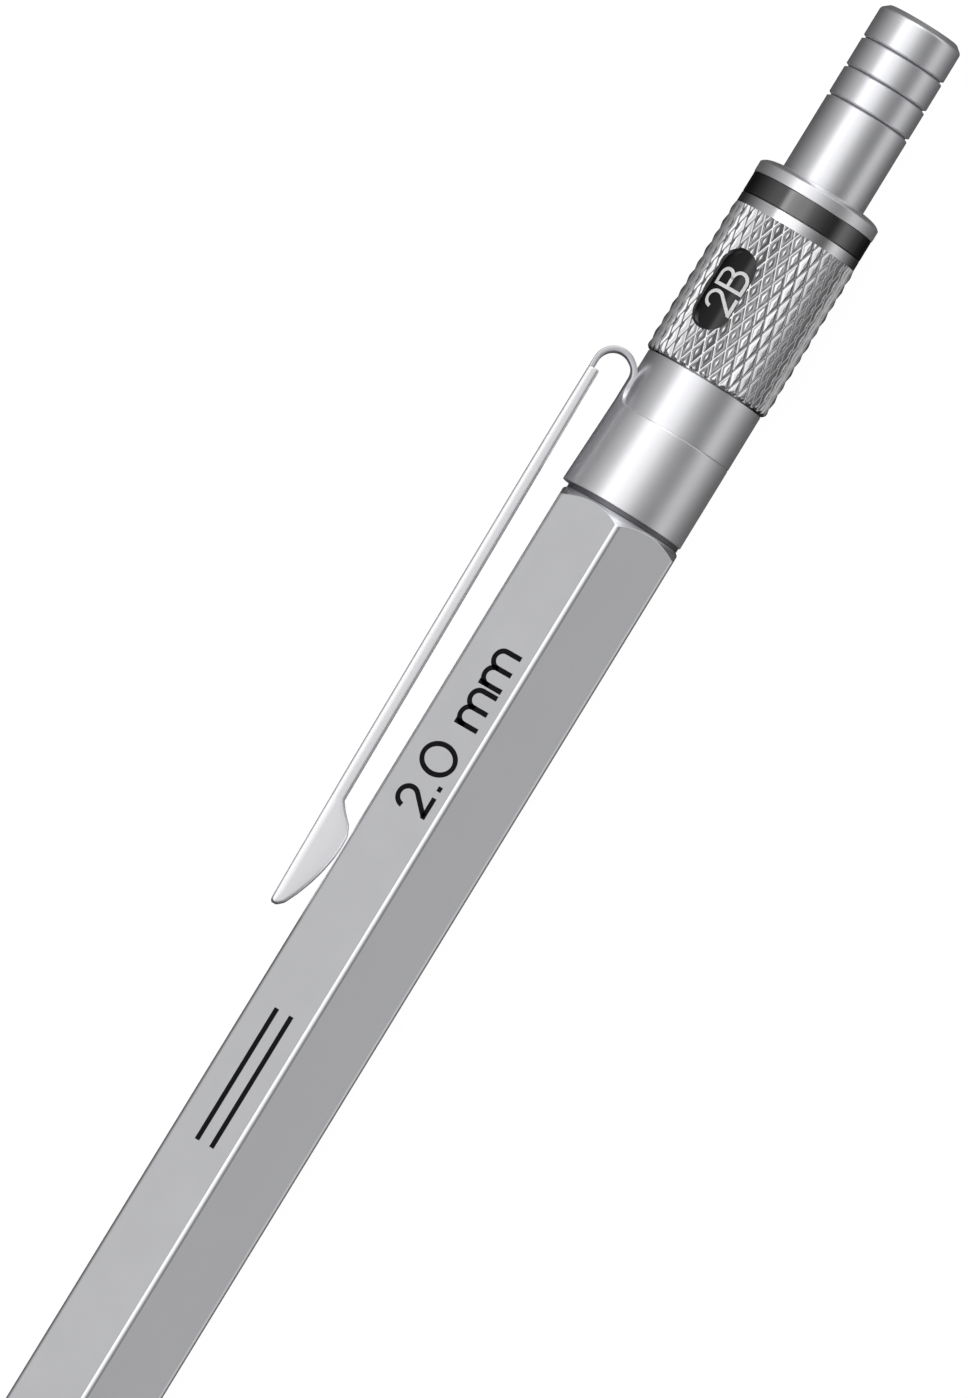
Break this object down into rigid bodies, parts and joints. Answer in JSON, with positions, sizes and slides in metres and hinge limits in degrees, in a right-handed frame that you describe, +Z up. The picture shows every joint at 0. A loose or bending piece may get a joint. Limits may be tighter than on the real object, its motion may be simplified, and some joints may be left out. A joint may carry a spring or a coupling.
{
  "type": "mechanical pencil",
  "caption": "Clutch pencil with a hexagonal metal barrel, spring clip, knurled grip, turning lead-grade window and a push cap that feeds thick lead.",
  "frame": {"origin": "middle of the bounding box's lower face: the surface the pencil lies on, under the middle of its length; the pencil's axis is at y -0.87 mm, z 4.19 mm", "axes": "+X along the pencil from the lead point to the push cap; +Z up, out of the printed flat and the indicator window; the clip is on the +Y side, 30 degrees above horizontal"},
  "size_m": [0.146, 0.0108, 0.0087],
  "materials": {
    "barrel_silver": "satin silver lacquer",
    "satin_silver": "satin turned",
    "knurled_silver": "diamond knurled, satin",
    "turned_brass_plated": "turned brass with satin chrome plating",
    "clip_steel": "satin spring steel",
    "sleeve_steel": "ground",
    "spring_steel": "drawn wire",
    "brass": "machined",
    "gloss_black": "gloss",
    "drum_black": "gloss black, printed with grade marks",
    "black_rubber": "moulded",
    "white_eraser": "soft matt",
    "graphite": "dull graphite sheen"
  },
  "bodies": {
    "barrel": {"lead_sleeve": "sleeve_steel", "nose_cone": "satin_silver", "lead_retainer": "black_rubber", "mechanism_sleeve": "brass", "front_grip": "knurled_silver", "front_insert": "brass", "hex_barrel": "barrel_silver", "rear_insert": "turned_brass_plated", "clip_band": "clip_steel", "grade_drum": "drum_black", "friction_ring": "black_rubber", "black_ring": "gloss_black", "top_collar": "satin_silver", "return_spring": "spring_steel"},
    "plunger": {"chuck_base": "brass", "tube_connector": "brass", "lead_tube": "brass", "eraser_holder": "brass", "eraser": "white_eraser"},
    "cap": {"push_cap": "satin_silver"},
    "indicator": {"window_sleeve": "knurled_silver"},
    "clip": {"clip_arm": "clip_steel"},
    "clutch": {"clutch_ring": "brass"},
    "lead_rod": {"lead": "graphite"},
    "jaw_a": {"jaw_1": "brass"},
    "jaw_b": {"jaw_2": "brass"},
    "jaw_c": {"jaw_3": "brass"}
  },
  "joints": [
    {"name": "cap_press", "type": "slide", "parent": "barrel", "child": "plunger", "axis": [-1, 0, 0], "range_m": [0, 0.0035], "stiffness_N_per_m": 400, "springref_m": -0.005, "deforming": ["return_spring"]},
    {"name": "cap_pull", "type": "slide", "parent": "plunger", "child": "cap", "axis": [1, 0, 0], "range_m": [0, 0.0125]},
    {"name": "clutch_ring_feed", "type": "slide", "parent": "barrel", "child": "clutch", "axis": [-1, 0, 0], "range_m": [0, 0.0011]},
    {"name": "lead_feed", "type": "slide", "parent": "barrel", "child": "lead_rod", "axis": [-1, 0, 0], "range_m": [0, 0.0011]},
    {"name": "indicator_turn", "type": "hinge", "parent": "barrel", "child": "indicator", "pos_m": [0.0533, -0.00089, 0.00419], "axis": [1, 0, 0], "continuous": true},
    {"name": "clip_flex", "type": "hinge", "parent": "barrel", "child": "clip", "pos_m": [0.0456, 0.00356, 0.00676], "axis": [0, 0.5, -0.866], "range_deg": [0, 5], "stiffness_Nm_per_rad": 0.7, "springref_deg": -1.72},
    {"name": "jaw_1_open", "type": "hinge", "parent": "plunger", "child": "jaw_a", "pos_m": [-0.04, -0.00089, 0.00562], "axis": [0, 1, 0], "range_deg": [0, 0.91]},
    {"name": "jaw_2_open", "type": "hinge", "parent": "plunger", "child": "jaw_b", "pos_m": [-0.04, -0.00213, 0.00347], "axis": [0, -0.5, 0.866], "range_deg": [0, 0.91]},
    {"name": "jaw_3_open", "type": "hinge", "parent": "plunger", "child": "jaw_c", "pos_m": [-0.04, 0.00035, 0.00347], "axis": [0, -0.5, -0.866], "range_deg": [0, 0.91]}
  ],
  "couplings": [
    {"joint": "clutch_ring_feed", "follows": "cap_press", "ratio": 0.3},
    {"joint": "lead_feed", "follows": "cap_press", "ratio": 0.3},
    {"joint": "jaw_1_open", "follows": "cap_press", "rad_per_m": 4.488},
    {"joint": "jaw_2_open", "follows": "cap_press", "rad_per_m": 4.488},
    {"joint": "jaw_3_open", "follows": "cap_press", "rad_per_m": 4.488}
  ]
}
